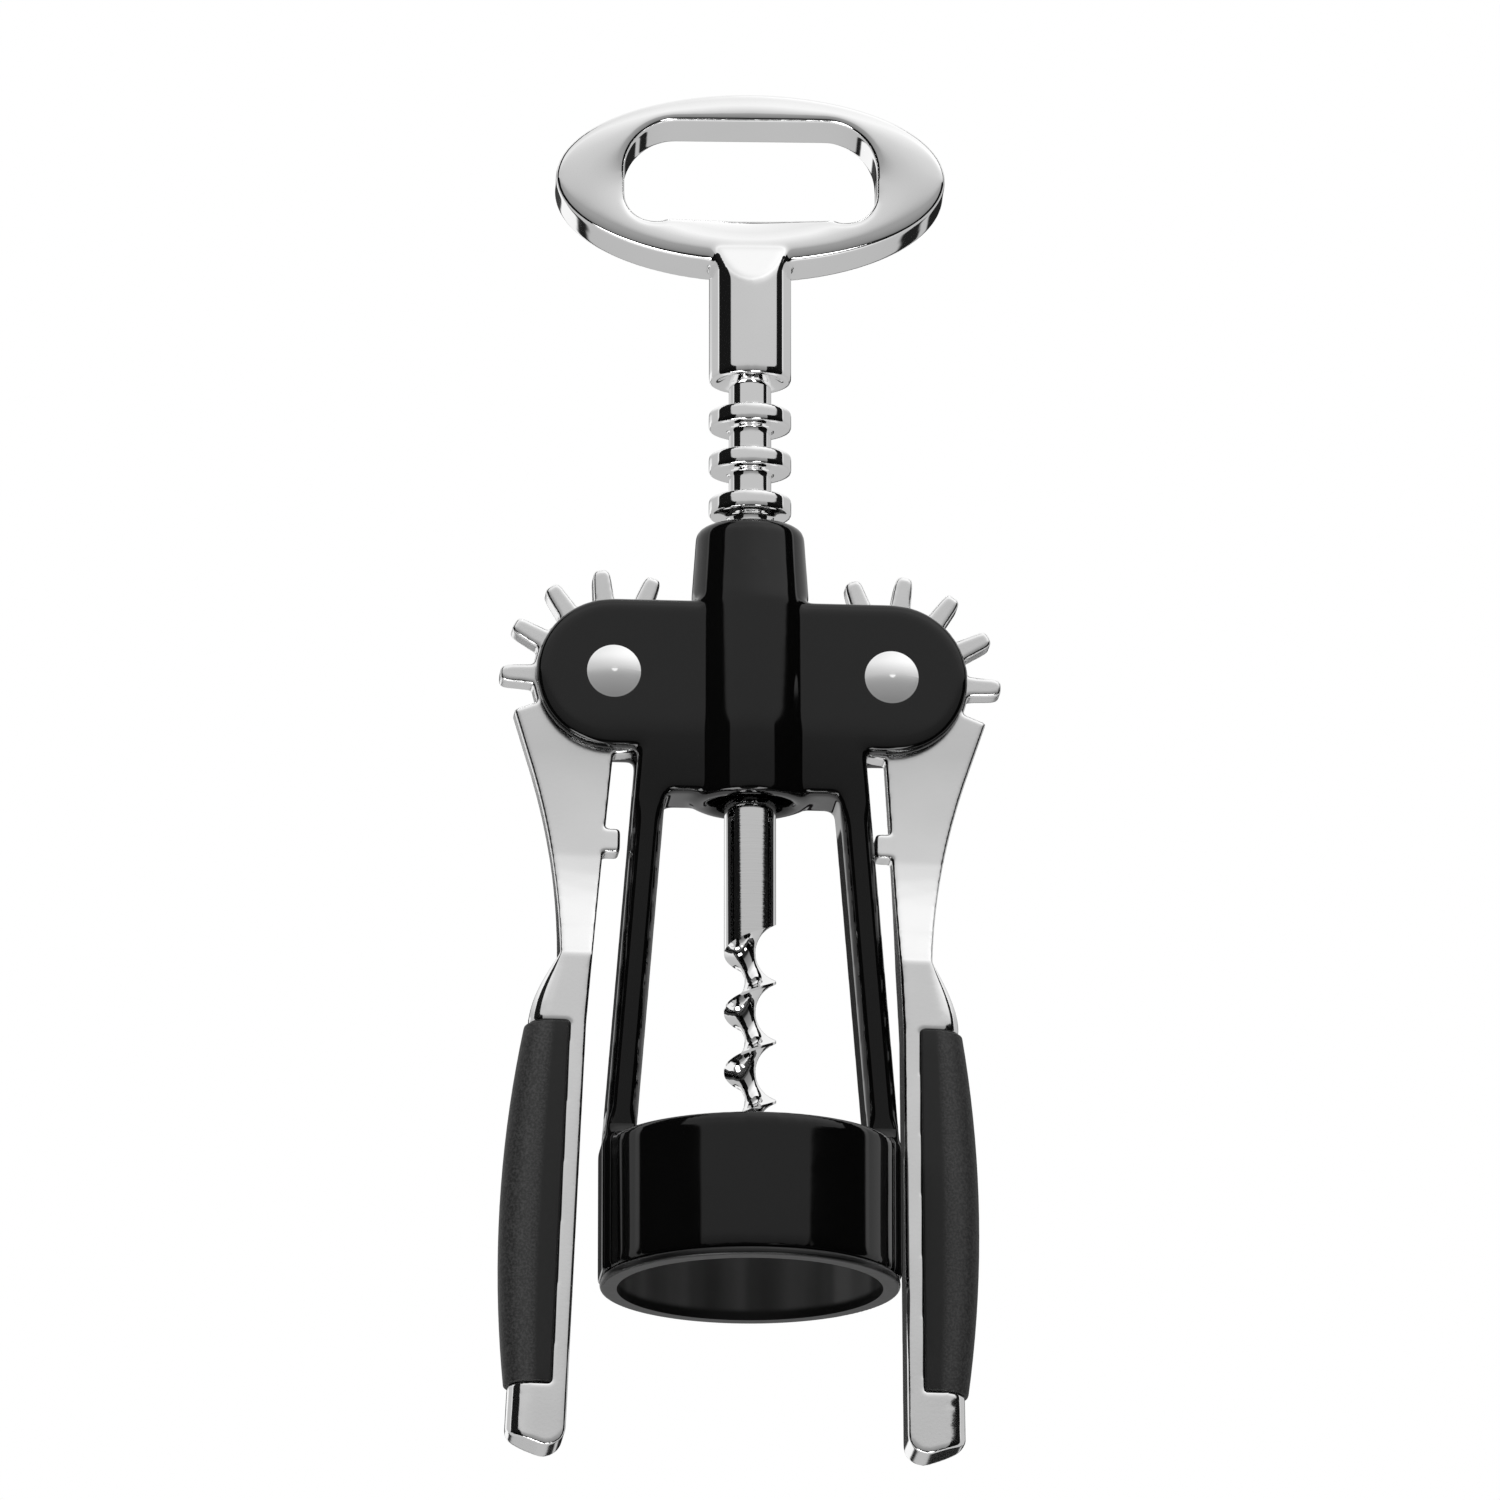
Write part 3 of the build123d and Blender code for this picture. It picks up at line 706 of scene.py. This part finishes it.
darkSheets = {                     # behind the object, each from, to and softened by so many degrees
    "rightLow": {"across": (152, 176, 1.5), "up": (-11, -3, 1), "strength": 0.97},
    "rightHigh": {"across": (152, 176, 1.5), "up": (2, 17, 1), "strength": 0.97},
    "left": {"across": (-176, -152, 1.5), "up": (-10.5, -5.5, 1), "strength": 0.97},
    "farLeft": {"across": (-200, -166, 1), "up": (8, 20, 1), "strength": 0.95},
}
whiteSheet = {"across": (-176, -140, 2), "up": (-7, 17, 1), "strength": 0.45}
glints = {                         # small windows low in front, seen in rounded lower edges
    "left": {"across": (-80, -34, 1), "up": (-88, -48, 2), "strength": 5.0},
    "right": {"across": (14, 34, 1), "up": (-88, -48, 2), "strength": 5.0},
}
plainSky = 0.62                    # what matt surfaces get


def lightByElevation(tree, elevation, levels):
    stops = [((degrees + 90) / 180, grey(value)) for degrees, value in levels]
    return addNode(tree, "ShaderNodeValToRGB", {"stops": stops}, {"Fac": (elevation + 90) * (1 / 180)})


def sheet(azimuth, elevation, place):
    return place["strength"] * (azimuth.between(*place["across"]) * elevation.between(*place["up"]))


def frontOfRoom(tree, azimuth, elevation):
    lean = azimuth.ramp(*sideLean["across"], *sideLean["change"]) * elevation.ramp(*sideLean["up"])
    return lightByElevation(tree, elevation, frontLight) * (1.0 + lean)


def backOfRoom(tree, azimuth, elevation):
    light = lightByElevation(tree, elevation, backLight) + sheet(azimuth, elevation, whiteSheet)
    for place in darkSheets.values():
        light = light * (1.0 - sheet(azimuth, elevation, place))
    return light


def addCards(light, azimuth, elevation, front):  # the tall sheets and the pale strips outside them
    inLeft = azimuth - elevation.ramp(*cards["slant"], cards["leftLow"], cards["leftHigh"])
    inRight = azimuth - elevation.ramp(*cards["slant"], cards["rightLow"], cards["rightHigh"])
    inSoft = cards["inSoft"]
    outSoft = cards["outSoft"]
    tall = elevation.between(*cards["up"])
    left = azimuth.ramp(cards["leftOuter"] - outSoft, cards["leftOuter"] + outSoft)
    left = left * (1.0 - inLeft.ramp(-inSoft, inSoft)) * tall
    right = 1.0 - azimuth.ramp(cards["rightOuter"] - outSoft, cards["rightOuter"] + outSoft)
    right = right * inRight.ramp(-inSoft, inSoft) * tall
    strip = (front - azimuth.between(cards["leftOuter"], cards["rightOuter"], outSoft)) * tall
    light = light * (1.0 - cards["dark"] * left) * (1.0 - cards["dark"] * right)
    return light + cards["edgeLight"] * strip


def makeSky():
    world = bpy.data.worlds.new("studioSky")
    bpy.context.scene.world = world
    world.use_nodes = True
    tree = world.node_tree
    tree.nodes.clear()
    direction = addNode(tree, "ShaderNodeTexCoord", output="Generated")
    x = addNode(tree, "ShaderNodeSeparateXYZ", None, {0: direction}, output="X")
    y = addNode(tree, "ShaderNodeSeparateXYZ", None, {0: direction}, output="Y")
    z = addNode(tree, "ShaderNodeSeparateXYZ", None, {0: direction}, output="Z")
    degree = 180 / math.pi
    azimuth = degree * x.math("ARCTAN2", x, -1.0 * y)      # 0 in front, positive to the right
    elevation = degree * z.of("ARCSINE")
    edge = cards["edge"]
    front = azimuth.between(cards["leftOuter"] - edge, cards["rightOuter"] + edge, cards["outSoft"])
    ahead = frontOfRoom(tree, azimuth, elevation)
    behind = backOfRoom(tree, azimuth, elevation)
    light = addCards(ahead * front + behind * (1.0 - front), azimuth, elevation, front)
    for place in glints.values():
        light = light + sheet(azimuth, elevation, place)
    shiny = addNode(tree, "ShaderNodeLightPath", output="Is Glossy Ray")
    seen = addNode(tree, "ShaderNodeLightPath", output="Is Camera Ray")
    through = addNode(tree, "ShaderNodeLightPath", output="Is Transmission Ray")
    bare = seen.math("MAXIMUM", seen, through)
    strength = shiny * light + bare + (1.0 - shiny) * (1.0 - bare) * plainSky
    sky = addNode(tree, "ShaderNodeBackground", None, {"Color": grey(1.0), "Strength": strength})
    addNode(tree, "ShaderNodeOutputWorld", None, {"Surface": sky})


lamps = {
    "keyLamp": {"place": (-1.2, -0.8, 0.8), "size": 0.8, "watts": 16.0},
    "fillLamp": {"place": (0.9, -0.9, 0.4), "size": 0.9, "watts": 3.0},
}
lampAim = (0, 0, 0.06)


def makeLamp(name, lampShape):
    data = bpy.data.lights.new(name, "AREA")
    data.shape = "DISK"
    data.size = lampShape["size"]
    data.energy = lampShape["watts"]
    lamp = bpy.data.objects.new(name, data)
    bpy.context.collection.objects.link(lamp)
    lamp.location = lampShape["place"]
    lamp.rotation_euler = (Vector(lampAim) - lamp.location).to_track_quat("-Z", "Y").to_euler()
    lamp.visible_glossy = False
    lamp.visible_camera = False


view = {
    "azimuth": -4.8,
    "elevation": -15.7,
    "distance": 1.747,
    "aimHeight": 0.0668,
    "lens": 348.0,
    "sensor": 36.0,
    "nearest": 0.05,
    "farthest": 50.0,
}


def makeCamera():
    data = bpy.data.cameras.new("productCamera")
    data.lens = view["lens"]
    data.sensor_width = view["sensor"]
    data.clip_start = view["nearest"]
    data.clip_end = view["farthest"]
    camera = bpy.data.objects.new("productCamera", data)
    bpy.context.collection.objects.link(camera)
    a = math.radians(view["azimuth"])
    e = math.radians(view["elevation"])
    back = Vector((math.sin(a) * math.cos(e), -math.cos(a) * math.cos(e), math.sin(e)))
    camera.location = Vector((0, 0, view["aimHeight"])) + back * view["distance"]
    camera.rotation_euler = (-back).to_track_quat("-Z", "Y").to_euler()
    bpy.context.scene.camera = camera


makeFloor(floorLook)
makeSky()
for name, lampShape in lamps.items():
    makeLamp(name, lampShape)
makeCamera()
bpy.context.scene.view_settings.view_transform = "Standard"
print("studio made")
